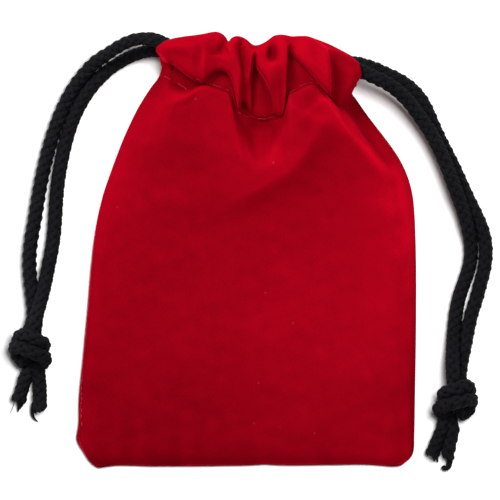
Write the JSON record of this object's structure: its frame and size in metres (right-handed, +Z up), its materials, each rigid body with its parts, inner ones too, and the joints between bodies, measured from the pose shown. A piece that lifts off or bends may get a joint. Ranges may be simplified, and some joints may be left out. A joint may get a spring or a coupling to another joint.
{
  "type": "drawstring pouch",
  "caption": "Small red velvet drawstring pouch lying on its back, mouth drawn in, with two black braided cords knotted at either side",
  "frame": {"origin": "middle of the pouch's own box (without the free cords), on the surface it lies on", "axes": "+X to the right as seen from above, +Y along the pouch from its bottom seam to its mouth, +Z up through the front panel"},
  "size_m": [0.109, 0.0982, 0.0177],
  "materials": {
    "velvet": "short dense cut pile, soft sheen",
    "braid": "matt braided yarn",
    "thread": "slightly glossy sewing thread"
  },
  "bodies": {
    "root": {"front_panel": "velvet", "back_panel": "velvet", "front_casing_stitching": "thread", "back_casing_stitching": "thread", "left_cord_in_casing": "braid", "left_cord_outer_strand": "braid", "left_cord_inner_strand": "braid", "left_cord_knot": "braid", "left_cord_outer_tail": "braid", "left_cord_inner_tail": "braid", "right_cord_in_casing": "braid", "right_cord_outer_strand": "braid", "right_cord_inner_strand": "braid", "right_cord_knot": "braid", "right_cord_outer_tail": "braid", "right_cord_inner_tail": "braid"}
  },
  "joints": []
}
